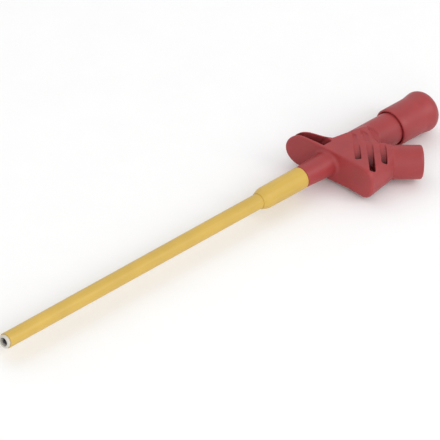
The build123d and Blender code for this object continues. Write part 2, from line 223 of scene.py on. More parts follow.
class ClipSizes(bpy.types.PropertyGroup):
    """Sizes of the pieces that are made here, in millimetres."""
    tube_root: bpy.props.FloatProperty(
        name="Tube root", description="Outside diameter of the tube's tapered end inside the sleeve",
        default=4.7, min=1.0)
    liner_bore: bpy.props.FloatProperty(
        name="Liner bore", description="Inside diameter of the white liner", default=2.8, min=0.5)
    sleeve_front: bpy.props.FloatProperty(
        name="Sleeve at the front", description="Outside diameter behind the sleeve's chamfer",
        default=6.85, min=1.0)
    sleeve_chamfer: bpy.props.FloatProperty(
        name="Sleeve chamfer", description="Length of the sleeve's front chamfer", default=2.3, min=0.1)
    sleeve_length: bpy.props.FloatProperty(
        name="Sleeve length", description="Length of the sleeve that shows", default=18.7, min=1.0)
    spigot: bpy.props.FloatProperty(
        name="Spigot", description="Diameter of the sleeve's end inside the grip", default=5.8, min=1.0)
    wing_half_width: bpy.props.FloatProperty(
        name="Wing half width", description="Half of the wings' width", default=5.4, min=1.0)
    guard: bpy.props.FloatProperty(
        name="Guard", description="Place of the wings' front face on the tube's axis", default=140.8)
    outlet_place: bpy.props.FloatProperty(
        name="Outlet place", description="Where the outlet's axis crosses the tube's axis", default=141.5)
    outlet_angle: bpy.props.FloatProperty(
        name="Outlet angle", description="Angle between the outlet and the tube",
        default=math.radians(39.0), subtype="ANGLE")
    outlet_end: bpy.props.FloatProperty(
        name="Outlet end", description="Distance of the outlet's rim along its axis", default=28.7)
    grain: bpy.props.FloatProperty(
        name="Mesh grain", description="Cell of the grid on which the grip's skin is found",
        default=0.26, min=0.1)
    cap_wall: bpy.props.FloatProperty(
        name="Cap wall", description="Wall of the thumb cap's sleeve", default=0.7, min=0.2)
    cap_straight: bpy.props.FloatProperty(
        name="Cap straight", description="Length of the cap's straight part", default=9.8, min=1.0)
    cap_flare: bpy.props.FloatProperty(
        name="Cap flare", description="Length of the cap's flared part", default=3.6, min=0.5)
    cap_dia: bpy.props.FloatProperty(
        name="Cap diameter", description="Outside diameter of the cap's straight part", default=12.05)
    spring_wire: bpy.props.FloatProperty(
        name="Spring wire", description="Diameter of the return spring's wire", default=0.55, min=0.1)
    spring_turns: bpy.props.IntProperty(
        name="Spring turns", description="Turns of the return spring", default=7, min=1)
    spring_seat: bpy.props.FloatProperty(
        name="Spring seat", description="Place of the washer under the spring's fixed end", default=152.5)
    stroke: bpy.props.FloatProperty(
        name="Stroke", description="Way of the plunger, by which the spring shortens", default=8.0, min=0.0)


class ClipColours(bpy.types.PropertyGroup):
    """Colours and gloss of the finishes."""
    red: bpy.props.FloatVectorProperty(
        name="Red", description="Moulded red of the grip and cap", subtype="COLOR", size=3,
        default=(0.338, 0.0345, 0.0385), min=0.0, max=1.0)
    yellow: bpy.props.FloatVectorProperty(
        name="Yellow", description="Extruded yellow of the tube", subtype="COLOR", size=3,
        default=(0.61, 0.40, 0.072), min=0.0, max=1.0)
    white: bpy.props.FloatVectorProperty(
        name="White", description="Natural white of the liner", subtype="COLOR", size=3,
        default=(0.60, 0.57, 0.51), min=0.0, max=1.0)
    black: bpy.props.FloatVectorProperty(
        name="Black", description="Black of the insulators", subtype="COLOR", size=3,
        default=(0.022, 0.022, 0.025), min=0.0, max=1.0)
    brass: bpy.props.FloatVectorProperty(
        name="Brass", description="Turned brass", subtype="COLOR", size=3,
        default=(0.70, 0.49, 0.20), min=0.0, max=1.0)
    nickel: bpy.props.FloatVectorProperty(
        name="Nickel", description="Nickel plating", subtype="COLOR", size=3,
        default=(0.68, 0.66, 0.62), min=0.0, max=1.0)
    steel: bpy.props.FloatVectorProperty(
        name="Steel", description="Hardened spring steel", subtype="COLOR", size=3,
        default=(0.42, 0.42, 0.43), min=0.0, max=1.0)
    jaws: bpy.props.FloatVectorProperty(
        name="Jaws", description="Blackened spring steel of the jaws", subtype="COLOR", size=3,
        default=(0.035, 0.034, 0.036), min=0.0, max=1.0)
    red_gloss: bpy.props.FloatProperty(
        name="Red roughness", description="Roughness of the red mouldings", default=0.46, min=0.0, max=1.0,
        subtype="FACTOR")
    yellow_gloss: bpy.props.FloatProperty(
        name="Yellow roughness", description="Roughness of the yellow tube", default=0.4, min=0.0, max=1.0,
        subtype="FACTOR")


class ClipStage(bpy.types.PropertyGroup):
    """Camera, lights and floor."""
    azimuth: bpy.props.FloatProperty(
        name="Azimuth", description="Direction of the camera round the clip",
        default=math.radians(-50.0), subtype="ANGLE")
    elevation: bpy.props.FloatProperty(
        name="Elevation", description="Height angle of the camera", default=math.radians(36.5),
        subtype="ANGLE")
    roll: bpy.props.FloatProperty(
        name="Roll", description="Turn of the camera about its own axis",
        default=math.radians(6.4), subtype="ANGLE")
    lens: bpy.props.FloatProperty(
        name="Lens", description="Focal length in millimetres", default=1400.0, min=50.0, unit="CAMERA")
    frame_width: bpy.props.FloatProperty(
        name="Frame width", description="Width of the view at the clip in millimetres", default=132.67)
    mouth_right: bpy.props.FloatProperty(
        name="Mouth to centre", description="From the tube's mouth to the view's centre, to the right",
        default=64.64)
    mouth_up: bpy.props.FloatProperty(
        name="Mouth to centre, up", description="From the tube's mouth to the view's centre, upwards",
        default=36.43)
    key_power: bpy.props.FloatProperty(
        name="Key light", description="Power of the soft light above and behind", default=0.59, min=0.0,
        unit="POWER")
    fill_power: bpy.props.FloatProperty(
        name="Fill light", description="Power of the light below the camera", default=1.35, min=0.0,
        unit="POWER")
    side_power: bpy.props.FloatProperty(
        name="Side light", description="Power of the light on the outlet's side", default=2.15, min=0.0,
        unit="POWER")
    sky: bpy.props.FloatProperty(
        name="Sky", description="Strength of the even white surroundings", default=0.79, min=0.0)


# Meshes

def mesh_piece(name, points, faces, body, slot, *nodes):
    """A smooth mesh object from points in millimetres and a list of faces, riding on a body and standing
    for CAD nodes."""
    mesh = bpy.data.meshes.new(name)
    mesh.from_pydata((points * MM).tolist(), [], faces)
    mesh.validate()
    mesh.polygons.foreach_set("use_smooth", np.ones(len(mesh.polygons), bool))
    mesh.update()
    piece = bpy.data.objects.new(name, mesh)
    bpy.context.scene.collection.objects.link(piece)
    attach(piece, body)
    if nodes:
        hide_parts(*nodes)
    return piece


def softened(corners, steps=5):
    """A closed outline whose corners are rounded.

    Each corner is (radius from the axis, place along it, rounding). A corner is replaced by a quadratic
    curve that starts and ends one rounding away from it, along its two sides.
    """
    corners = np.array(corners, float)
    places = corners[:, :2]
    before = np.roll(places, 1, axis=0)
    after = np.roll(places, -1, axis=0)
    to_before = before - places
    to_after = after - places
    length_before = np.linalg.norm(to_before, axis=1, keepdims=True)
    length_after = np.linalg.norm(to_after, axis=1, keepdims=True)
    reach = corners[:, 2:3]
    start = places + to_before / length_before * np.minimum(reach, 0.45 * length_before)
    end = places + to_after / length_after * np.minimum(reach, 0.45 * length_after)
    s = np.linspace(0, 1, steps)[None, :, None]
    curve = (1 - s) ** 2 * start[:, None] + 2 * s * (1 - s) * places[:, None] + s ** 2 * end[:, None]
    line = curve.reshape(-1, 2)
    keep = np.linalg.norm(line - np.roll(line, 1, axis=0), axis=1) > 1e-5
    return line[keep]


def split_long(line, longest):
    """The same closed outline with its long runs divided, so that no step is longer than given."""
    following = np.roll(line, -1, axis=0)
    counts = np.maximum(1, np.ceil(np.linalg.norm(following - line, axis=1) / longest)).astype(int)
    starts = np.repeat(line, counts, axis=0)
    ends = np.repeat(following, counts, axis=0)
    first = np.repeat(np.cumsum(counts) - counts, counts)
    share = (np.arange(counts.sum()) - first) / np.repeat(counts, counts)
    return starts + (ends - starts) * share[:, None]


def turned(line, sides, origin=(0.0, 0.0, 0.0), along=(1.0, 0.0, 0.0), across=(0.0, 1.0, 0.0)):
    """Surface of revolution of a closed outline of (radius, place) points round an axis.

    A point of the outline with radius r and place t goes to origin + t * along + r * (cos a * across
    + sin a * side), for angles a once round. The faces of a run on the axis itself have no area and are
    dropped. Returns the points as an array and the quads as a list.
    """
    along = np.array(along, float)
    across = np.array(across, float)
    side = np.cross(along, across)
    a = np.linspace(0, 2 * np.pi, sides, endpoint=False)
    spokes = np.cos(a)[:, None] * across + np.sin(a)[:, None] * side
    r = line[:, 0][:, None, None]
    t = line[:, 1][:, None, None]
    points = (np.array(origin, float) + t * along + r * spokes[None]).reshape(-1, 3)
    n = len(line)
    i, j = np.meshgrid(np.arange(n), np.arange(sides), indexing="ij")
    i2 = (i + 1) % n
    j2 = (j + 1) % sides
    quads = np.stack([i * sides + j, i * sides + j2, i2 * sides + j2, i2 * sides + j], axis=-1)
    on_axis = (line[:, 0] < 1e-6) & (line[(np.arange(n) + 1) % n, 0] < 1e-6)
    return points, quads[~on_axis].reshape(-1, 4).tolist()


def closed_mesh(name, points, faces, body, slot, *nodes):
    """A mesh piece whose doubled points are merged, whose loose points are taken away and whose faces
    are turned outwards."""
    piece = mesh_piece(name, points, faces, body, slot, *nodes)
    work = bmesh.new()
    work.from_mesh(piece.data)
    bmesh.ops.remove_doubles(work, verts=work.verts, dist=1e-7)
    bmesh.ops.dissolve_degenerate(work, edges=work.edges, dist=1e-8)
    loose = [point for point in work.verts if not point.link_faces]
    bmesh.ops.delete(work, geom=loose, context="VERTS")
    bmesh.ops.recalc_face_normals(work, faces=work.faces)
    work.to_mesh(piece.data)
    work.free()
    return piece


# The grip's skin: distance fields in millimetres, negative inside

def join(a, b, blend):
    """Smooth union of two fields: the smaller one, with a soft hollow as wide as the blend."""
    h = np.maximum(blend - np.abs(a - b), 0) / blend
    return np.minimum(a, b) - h * h * blend / 4


def meet(a, b, blend):
    """Smooth intersection of two fields: the larger one, with a rounded edge."""
    return -join(-a, -b, blend)


def cut(a, b, blend):
    """Field a with field b taken away, with a rounded edge."""
    return meet(a, -b, blend)


def cone_field(t, r, start, end, start_radius, end_radius):
    """Taper between two places of an axis: t along the axis, r away from it."""
    share = np.clip((t - start) / (end - start), 0, 1)
    radius = start_radius + (end_radius - start_radius) * share
    return np.maximum(r - radius, np.maximum(start - t, t - end))


def lobe_field(y, z, top_centre, half):
    """Outline of the wings seen along the tube: a box with round corners at the lower wing's end, topped
    by a half disc whose centre is at top_centre."""
    disc = np.hypot(np.maximum(y - top_centre, 0), z) - half
    past_y = np.maximum(LOWER_CORNER - LOWER_REACH - y, 0)
    past_z = np.maximum(np.abs(z) - half + LOWER_CORNER, 0)
    box = np.hypot(past_y, past_z) - LOWER_CORNER
    return np.where(y > top_centre, disc, box)


def cubic(first, second, third, fourth, steps=160):
    """Points of the cubic curve with four control points, for s from 0 to 1: each control point times
    (1 - s)^3, 3 s (1 - s)^2, 3 s^2 (1 - s) or s^3, added up."""
    s = np.linspace(0, 1, steps)[:, None]
    a, b, c, d = np.array([first, second, third, fourth], float)
    return (1 - s) ** 3 * a + 3 * s * (1 - s) ** 2 * b + 3 * s ** 2 * (1 - s) * c + s ** 3 * d


def front_line(y):
    """Place of the wings' front face behind the guard's place, as a function of y: a cubic curve that
    leans forward above and a little back below."""
    low = -LOWER_REACH - 1
    top = UPPER_REACH + 1
    line = cubic((LOWER_LEAN, low), (1.2 * LOWER_LEAN, low / 3), (-0.14 * UPPER_LEAN, top / 3),
                 (-UPPER_LEAN, top))
    return np.interp(y, line[:, 1], line[:, 0])


def flare_line(r):
    """Place of the flare's rear face behind the guard's place, at distance r from the tube's axis: a
    straight slope outside the knee and a cubic curve that runs into the neck inside it."""
    slope = FLARE_RIM + FLARE_SLOPE * (UPPER_REACH - r)
    knee = FLARE_KNEE_RADIUS
    knee_place = FLARE_RIM + FLARE_SLOPE * (UPPER_REACH - knee)
    inwards, back = FLARE_KNEE_HANDLE
    bend = cubic((knee, knee_place), (knee - inwards, knee_place + back), (FLARE_NECK_RADIUS, FLARE_BEND),
                 (FLARE_NECK_RADIUS, FLARE_LENGTH))[::-1]
    return np.where(r > knee, slope, np.interp(r, bend[:, 0], bend[:, 1]))


def tangent_planes(sizes):
    """Planes that touch both the lower wing's outline and the outlet's round root.

    For each point of the root's circle, the plane holds the circle's tangent there and the one point of
    the outline that leaves every other point of it on its inner side. Returns unit normals and offsets.
    """
    half = sizes.wing_half_width
    lean = sizes.outlet_angle
    a = np.radians(np.linspace(0, 90, 16))
    top = np.stack([half * np.sin(a), half * np.cos(a)], axis=1)
    bottom = np.stack([LOWER_CORNER * (1 - np.cos(a)) - LOWER_REACH,
                       half - LOWER_CORNER * (1 - np.sin(a))], axis=1)
    outline = np.concatenate([top, bottom])
    outline = np.concatenate([outline, outline * (1, -1)])
    wing_rear = np.full(len(outline), sizes.guard + LOWER_THICKNESS)
    near = np.stack([wing_rear, outline[:, 0], outline[:, 1]], axis=1)
    along = np.array([math.cos(lean), -math.sin(lean), 0.0])
    across = np.array([math.sin(lean), math.cos(lean), 0.0])
    up = np.array([0.0, 0.0, 1.0])
    b = np.linspace(0, 2 * np.pi, 88, endpoint=False)[:, None]
    centre = np.array([sizes.outlet_place, 0.0, 0.0]) + OUTLET_ROOT * along
    outwards = np.cos(b) * across + np.sin(b) * up
    far = centre + OUTLET_ROOT_RADIUS * outwards
    tangent = np.cos(b) * up - np.sin(b) * across
    normals = np.cross(tangent[:, None], near[None] - far[:, None])
    normals /= np.linalg.norm(normals, axis=2, keepdims=True)
    normals *= np.sign((normals * outwards[:, None]).sum(axis=2, keepdims=True))
    offsets = (normals * far[:, None]).sum(axis=2)
    worst = (np.einsum("ikc,jc->ikj", normals, near) - offsets[:, :, None]).max(axis=2)
    best = worst.argmin(axis=1)
    rows = np.arange(len(b))
    return normals[rows, best], offsets[rows, best]


def wings_field(x, y, z, t, sizes):
    """Both wings: the outline behind the front face, closed above by the flare and below by the planes
    that run to the outlet's root."""
    half = sizes.wing_half_width
    behind = x - sizes.guard
    front = (front_line(y) - behind) * FRONT_COSINE
    flare = (behind - flare_line(np.hypot(y, z))) * FLARE_COSINE
    rim = np.interp(y, RIM_HEIGHTS, RIM_ROUNDINGS)
    upper = meet(lobe_field(y, z, UPPER_REACH - half, half), front, rim)
    upper = meet(upper, flare, FLARE_ROUNDING)
    upper = np.maximum(upper, -UPPER_FOOT - y)
    lower = lobe_field(y, z, 0.0, half)
    for normal, offset in zip(*tangent_planes(sizes)):
        if normal[2] > -1e-6:
            lower = np.maximum(lower, normal[0] * x + normal[1] * y + normal[2] * np.abs(z) - offset)
    lower = meet(lower, front, rim)
    lower = meet(lower, t - OUTLET_ROOT, ROOT_ROUNDING)
    return np.minimum(upper, lower)


def rear_neck_field(x, r, sizes):
    """The round neck behind the wings, on which the thumb cap slides."""
    taper = cone_field(x, r, sizes.guard, REAR_NECK_END, *REAR_NECK_RADII)
    taper = np.maximum(taper, REAR_NECK_START - (x - sizes.guard))
    return meet(taper, x - REAR_NECK_END, REAR_NECK_ROUNDING)


def web_field(x, y, z, t, sizes):
    """The wall between the rear neck and the outlet, which grows lower and thinner to the rear."""
    behind = x - sizes.guard
    fall = np.clip((behind - WEB_FALL_START) / WEB_FALL_LENGTH, 0, 1)
    web = np.abs(z) - (sizes.wing_half_width - WEB_THINNING * fall)
    web = np.maximum(web, y - WEB_RISE * (1 - fall))
    web = np.maximum(web, np.maximum(WEB_FRONT - behind, t - OUTLET_ROOT + WEB_SHORT_OF_ROOT))
    web = np.maximum(web, -WEB_FOOT - WEB_FOOT_SLOPE * (x - sizes.outlet_place) - y)
    return meet(web, behind - WEB_LENGTH - WEB_REAR_SLOPE * np.minimum(y, 0), WEB_ROUNDING)


def slot_field(y, r, behind):
    """The slot through the upper wing, between its front wall and the flare's, down to a round core."""
    slot = np.maximum(front_line(y) + SLOT_FRONT_WALL - behind, behind - flare_line(r) + SLOT_REAR_WALL)
    slot = np.maximum(slot, np.maximum(SLOT_FLOOR - y, behind - SLOT_DEPTH))
    return np.maximum(slot, SLOT_CORE_RADIUS - r)


def bores_field(x, r, t, outlet_r):
    """All round bores, along the tube's axis and along the outlet's."""
    bores = [cone_field(x, r, start, end, radius, radius) for start, end, radius in TUBE_BORES]
    bores += [cone_field(t, outlet_r, start, end, radius, radius) for start, end, radius in OUTLET_BORES]
    return np.minimum.reduce(bores)


def grip_field(x, y, z, sizes):
    """Distance field of the whole grip, bores included, negative inside.

    With the outlet leaning by the angle l from the tube, t = (x - place) cos l - y sin l runs along the
    outlet's axis and q = (x - place) sin l + y cos l across it.
    """
    half = sizes.wing_half_width
    lean = sizes.outlet_angle
    r = np.hypot(y, z)
    t = (x - sizes.outlet_place) * math.cos(lean) - y * math.sin(lean)
    q = (x - sizes.outlet_place) * math.sin(lean) + y * math.cos(lean)
    outlet_r = np.hypot(q, z)

    neck = cone_field(x, r, NECK_START, sizes.guard + NECK_OVERLAP, *NECK_RADII)
    outlet = np.maximum(outlet_r - OUTLET_RADIUS, OUTLET_START - t)
    outlet = meet(outlet, t - sizes.outlet_end, OUTLET_ROUNDING)
    saddle = join(rear_neck_field(x, r, sizes), outlet, SADDLE_HOLLOW)
    saddle = join(saddle, web_field(x, y, z, t, sizes), WEB_HOLLOW)
    field = join(wings_field(x, y, z, t, sizes), neck, NECK_HOLLOW)
    field = np.minimum(join(field, outlet, OUTLET_HOLLOW), saddle)
    field = np.maximum(field, np.abs(z) - half - ROOT_BULGE * np.clip(t / OUTLET_ROOT, 0, 1))

    field = cut(field, slot_field(y, r, x - sizes.guard), SLOT_ROUNDING)
    for place, end, floor in GILLS:
        field = cut(field, gill_field(t, q, z, place, end, floor), GILL_ROUNDING)
    field = field + shoulder_relief(t, q, z)
    return cut(field, bores_field(x, r, t, outlet_r), BORE_ROUNDING)


def gill_field(t, q, z, place, end, floor):
    """One gill slot on each side: a band across the outlet's axis with a rounded deep end.

    Its floor is flat at the deep end, rises round the outlet's core and runs out over the shoulder. The
    band leans a little forward at the deep end.
    """
    t = t - GILL_LEAN * np.minimum(q, 0)
    core = GILL_CORE_RADIUS - np.hypot(np.minimum(q, 0), z)
    climb = GILL_CORE_RADIUS + GILL_RISE / GILL_RUNOUT * np.maximum(q, 0) - np.abs(z)
    bottom = np.maximum(floor - np.abs(z), np.where(q > 0, climb * GILL_COSINE, core))
    band = np.abs(t - place) - GILL_WIDTH / 2
    ends = np.maximum(-q - end + GILL_END_SLANT * (t - place), q - GILL_RUNOUT)
    return meet(meet(band, ends, GILL_CORNER), bottom, GILL_ROUNDING)


def shoulder_relief(t, q, z):
    """How far the moulding sinks over the shoulder: a shallow channel leads on from each gill and grows
    wider and deeper until it ends at a curved step.

    With s the place along the step, the step bows out by bow (1 - (2 s / length - 1)^2).
    """
    high = np.clip(np.abs(z) - SHOULDER_HEIGHT, 0, 1)
    sunk = 0 * t
    for place, t1, q1, t2, q2, bow in CHANNELS:
        length = math.hypot(t2 - t1, q2 - q1)
        ut = (t2 - t1) / length
        uq = (q2 - q1) / length
        s = (t - t1) * ut + (q - q1) * uq
        past = -(t - t1) * uq + (q - q1) * ut - bow * (1 - (2 * s / length - 1) ** 2)
        way = np.clip((q - CHANNEL_START) / (q1 + q2 - 2 * CHANNEL_START) * 2, 0, 1)
        left = place - CHANNEL_HALF_WIDTH + (t1 - place + CHANNEL_HALF_WIDTH) * way
        right = place + CHANNEL_HALF_WIDTH + (t2 - place - CHANNEL_HALF_WIDTH) * way
        across = np.clip((t - left) / CHANNEL_SIDE, 0, 1) * np.clip((right - t) / CHANNEL_SIDE, 0, 1)
        depth = CHANNEL_SHALLOW + CHANNEL_DEEPER * way
        shown = np.clip(q / CHANNEL_START, 0, 1) * np.clip(0.5 - past / CHANNEL_STEP, 0, 1)
        sunk = np.maximum(sunk, depth * across * shown)
    return sunk * high


def relaxed(points, faces, field, step, rounds=3):
    """The same surface with evenly spread points.

    In each round a point goes half way to the mean of its neighbours, and then back onto the surface by
    one step of Newton's method: p - f(p) g / (g . g), where g is the field's gradient.
    """
    ends = np.concatenate([faces[:, [0, 1]], faces[:, [1, 2]], faces[:, [2, 3]], faces[:, [3, 0]]])
    count = np.bincount(ends[:, 0], minlength=len(points))[:, None]
    small = step / 8
    for _ in range(rounds):
        sums = [np.bincount(ends[:, 0], points[ends[:, 1], k], len(points)) for k in range(3)]
        total = np.stack(sums, axis=1)
        points = 0.5 * points + 0.5 * total / np.maximum(count, 1)
        here = field(*points.T)
        slope = np.stack([(field(*(points + shift).T) - here) / small for shift in small * np.eye(3)], axis=1)
        size = np.maximum((slope ** 2).sum(axis=1), 0.25)
        move = np.clip(here / size, -step / 2, step / 2)[:, None] * slope
        points = points - move
    return points


def skin(field, low, step):
    """Surface where a field on a regular grid is zero.

    Each cell with a change of sign gets one point, the mean of the crossings on its twelve edges. Each
    grid edge with a change of sign gets one quad between the four cells that share it, turned so that it
    faces the positive side. Returns the points and the quads as arrays.
    """
    inside = field < 0
    shape = np.array(field.shape) - 1
    total = np.zeros(tuple(shape) + (3,))
    count = np.zeros(tuple(shape))
    corner = np.stack(np.meshgrid(*[np.arange(n) for n in shape], indexing="ij"), axis=-1).astype(float)
    for axis in range(3):
        others = [k for k in range(3) if k != axis]
        for da in (0, 1):
            for db in (0, 1):
                shift = [0, 0, 0]
                shift[others[0]], shift[others[1]] = da, db
                at = tuple(slice(s, s + n) for s, n in zip(shift, shape))
                shift[axis] = 1
                to = tuple(slice(s, s + n) for s, n in zip(shift, shape))
                crossing = inside[at] != inside[to]
                f0, f1 = field[at], field[to]
                share = np.where(crossing, f0 / np.where(crossing, f0 - f1, 1), 0)
                offset = np.zeros(3)
                offset[others[0]], offset[others[1]] = da, db
                place = corner + offset
                place[..., axis] += share
                total += place * crossing[..., None]
                count += crossing
    active = count > 0
    index = -np.ones(tuple(shape), int)
    index[active] = np.arange(active.sum())
    points = low + step * total[active] / count[active][:, None]
    faces = []
    for axis in range(3):
        u, v = [k for k in range(3) if k != axis]
        at = [slice(1, n) for n in shape]
        to = [slice(1, n) for n in shape]
        at[axis] = slice(0, shape[axis])
        to[axis] = slice(1, shape[axis] + 1)
        a, b = inside[tuple(at)], inside[tuple(to)]
        cells = np.argwhere(a != b)
        enters = a[tuple(cells.T)]
        cells = cells + 1
        cells[:, axis] -= 1
        du, dv = np.zeros(3, int), np.zeros(3, int)
        du[u], dv[v] = 1, 1
        ring = [index[tuple((cells - s).T)] for s in (du * 0, du, du + dv, dv)]
        quad = np.stack(ring, axis=-1)
        turn = enters if axis != 1 else ~enters
        quad[~turn] = quad[~turn][:, ::-1]
        faces.append(quad)
    return points, np.concatenate(faces)


# Materials

class Value:
    """A node socket that can stand in a sum: each operator adds its Math node."""

    def __init__(self, shader, socket):
        self.shader = shader
        self.socket = socket

    def maths(self, operation, first, second):
        return self.shader.node("ShaderNodeMath", {"operation": operation}, {0: first, 1: second})

    def __add__(self, other):
        return self.maths("ADD", self, other)

    def __radd__(self, other):
        return self.maths("ADD", other, self)

    def __sub__(self, other):
        return self.maths("SUBTRACT", self, other)

    def __rsub__(self, other):
        return self.maths("SUBTRACT", other, self)

    def __mul__(self, other):
        return self.maths("MULTIPLY", self, other)

    def __rmul__(self, other):
        return self.maths("MULTIPLY", other, self)


class Shader:
    """A new material whose nodes are made by one method."""

    def __init__(self, name):
        self.material = bpy.data.materials.new(name)
        self.material.use_nodes = True
        self.tree = self.material.node_tree
        self.tree.nodes.clear()
        self.out = self.tree.nodes.new("ShaderNodeOutputMaterial")

    def node(self, kind, settings=None, inputs=None, output=0):
        """Adds a node, sets its settings first and then the values or links of its sockets."""
        made = self.tree.nodes.new(kind)
        for key, value in (settings or {}).items():
            if key == "stops":
                ramp = made.color_ramp
                while len(ramp.elements) < len(value):
                    ramp.elements.new(0.5)
                for element, (place, level) in zip(ramp.elements, value):
                    element.position = place
                    element.color = (level, level, level, 1)
            else:
                setattr(made, key, value)
        for key, value in (inputs or {}).items():
            if isinstance(value, Value):
                self.tree.links.new(value.socket, made.inputs[key])
            else:
                made.inputs[key].default_value = value
        return Value(self, made.outputs[output])

    def places(self, scale=(1000.0, 1000.0, 1000.0), turn=(0.0, 0.0, 0.0)):
        """Object coordinates in millimetres, stretched or turned by a Mapping node."""
        where = self.node("ShaderNodeTexCoord", output=3)
        return self.node("ShaderNodeMapping", {"vector_type": "POINT"}, {
            "Vector": where, "Scale": scale, "Rotation": turn})

    def noise(self, vector, scale, detail=2.0, rough=0.5):
        return self.node("ShaderNodeTexNoise", {}, {
            "Vector": vector, "Scale": scale, "Detail": detail, "Roughness": rough})

    def ramp(self, factor, *stops):
        return self.node("ShaderNodeValToRGB", {"stops": stops}, {0: factor})

    def mix(self, factor, first, second):
        """Mix of two colours, each a Value or an (r, g, b)."""
        a, b = [c if isinstance(c, Value) else (*c, 1.0) for c in (first, second)]
        return self.node("ShaderNodeMix", {"data_type": "RGBA"}, {0: factor, 6: a, 7: b}, output=2)

    def bump(self, height, strength, distance, normal=None):
        inputs = {"Height": height, "Strength": strength, "Distance": distance * MM}
        if normal is not None:
            inputs["Normal"] = normal
        return self.node("ShaderNodeBump", {}, inputs)

    def finish(self, **inputs):
        """Connects the principled shader to the output and returns the material."""
        names = {key.replace("_", " "): value for key, value in inputs.items()}
        surface = self.node("ShaderNodeBsdfPrincipled", {}, names)
        self.tree.links.new(surface.socket, self.out.inputs["Surface"])
        return self.material


def shade(colour, factor):
    """A colour made darker or lighter by a factor."""
    return tuple(min(1.0, c * factor) for c in colour)


def moulded_red(colour, roughness):
    """Satin moulded plastic: fine eroded grain, cloudy gloss, paler rubbed edges and painted shade that
    darkens the recesses.
    """
    s = Shader("moulded red")
    mm = s.places()
    cloud = s.noise(mm, 0.16, 3.0)
    grain = s.noise(mm, 7.0, 2.0, 0.6)
    speck = s.noise(mm, 22.0, 1.0)
    tone = s.mix(s.ramp(cloud, (0.35, 0.0), (0.68, 1.0)), shade(colour, 0.93), shade(colour, 1.06))
    tone = s.mix(s.ramp(speck, (0.62, 0.0), (0.74, 0.25)), tone, shade(colour, 0.8))
    rub = s.ramp(s.node("ShaderNodeNewGeometry", output=7), (0.52, 0.0), (0.60, 1.0))
    tone = s.mix(rub * 0.22, tone, shade(colour, 1.45))
    # Painted shade: the base colour goes far darker where ambient occlusion finds the moulding hollow within
    # 3 mm. It stands in for shade in the slots, gills and corners.
    hollow = s.node("ShaderNodeAmbientOcclusion", {"samples": 8, "only_local": True},
                    {"Distance": 3 * MM}, output=1)
    tone = s.mix(s.ramp(hollow, (0.12, 0.78), (0.74, 0.0)), tone, shade(colour, 0.22))
    rough = roughness + (cloud - 0.5) * 0.10 + (grain - 0.5) * 0.08
    normal = s.bump(grain, 0.22, 0.03)
    normal = s.bump(speck, 0.10, 0.012, normal)
    return s.finish(Base_Color=tone, Roughness=rough, Normal=normal, IOR=1.5)


def extruded(name, colour, roughness, streak):
    """Extruded plastic tube: faint streaks along the tube, fine grain and a few dull patches."""
    s = Shader(name)
    mm = s.places()
    along = s.places(scale=(25.0, 1000.0, 1000.0))
    streaks = s.noise(along, 3.2, 2.0)
    cloud = s.noise(mm, 0.10, 2.0)
    grain = s.noise(mm, 9.0, 1.0)
    tone = s.mix(s.ramp(cloud, (0.35, 0.0), (0.7, 1.0)), shade(colour, 0.95), shade(colour, 1.04))
    tone = s.mix(s.ramp(streaks, (0.45, 0.0), (0.72, 1.0)) * 0.35, tone, shade(colour, 0.86))
    rough = roughness + (streaks - 0.5) * 0.12 + (cloud - 0.5) * 0.08
    normal = s.bump(streaks, streak, 0.02)
    normal = s.bump(grain, 0.08, 0.01, normal)
    return s.finish(Base_Color=tone, Roughness=rough, Normal=normal, IOR=1.48)


def black_insulator(colour):
    """Matt black moulding with a fine grain."""
    s = Shader("black insulator")
    mm = s.places()
    grain = s.noise(mm, 8.0, 2.0, 0.6)
    cloud = s.noise(mm, 0.4, 2.0)
    tone = s.mix(cloud, shade(colour, 0.85), shade(colour, 1.4))
    rough = 0.55 + (grain - 0.5) * 0.15
    return s.finish(Base_Color=tone, Roughness=rough, Normal=s.bump(grain, 0.25, 0.02))


def turned_metal(name, colour, roughness, turn, pitch, depth):
    """Turned metal: fine tool rings round the piece's own axis, light tarnish between them."""
    s = Shader(name)
    mm = s.places()
    own = s.places(turn=turn)
    rings = s.node("ShaderNodeTexWave", {"wave_type": "BANDS", "bands_direction": "X"}, {
        "Vector": own, "Scale": pitch, "Distortion": 0.6, "Detail": 2.0, "Detail Scale": 1.5})
    tarnish = s.noise(mm, 0.6, 3.0)
    tone = s.mix(s.ramp(tarnish, (0.4, 0.0), (0.75, 1.0)) * 0.4, colour, shade(colour, 0.7))
    rough = roughness + (tarnish - 0.5) * 0.18 + (rings - 0.5) * 0.06
    return s.finish(Base_Color=tone, Metallic=1.0, Roughness=rough, Normal=s.bump(rings, depth, 0.01))


def drawn_steel(name, colour, tinted):
    """Drawn and hardened steel: long scratches along the axis and a faint heat tint."""
    s = Shader(name)
    mm = s.places()
    along = s.places(scale=(60.0, 1000.0, 1000.0))
    scratches = s.noise(along, 6.0, 3.0)
    tint = s.noise(mm, 0.25, 2.0)
    tone = s.mix(s.ramp(tint, (0.4, 0.0), (0.7, 1.0)) * 0.5, colour, tinted)
    rough = 0.30 + (scratches - 0.5) * 0.2
    return s.finish(Base_Color=tone, Metallic=1.0, Roughness=rough, Normal=s.bump(scratches, 0.15, 0.01))


def floor_finish():
    """Pale matt card with an almost even tone."""
    s = Shader("pale card")
    fibre = s.noise(s.places(scale=(40.0, 40.0, 40.0)), 2.0, 3.0)
    tone = s.mix(fibre, (0.92, 0.92, 0.92), (0.95, 0.95, 0.95))
    return s.finish(Base_Color=tone, Roughness=0.9)


def dress(piece, material):
    """Gives a piece one material in place of whatever it had."""
    piece.data.materials.clear()
    piece.data.materials.append(material)


def dress_nodes(material, *names):
    """Gives one material to CAD nodes that stay as they are."""
    for name in names:
        dress(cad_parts[name], material)


# Operators

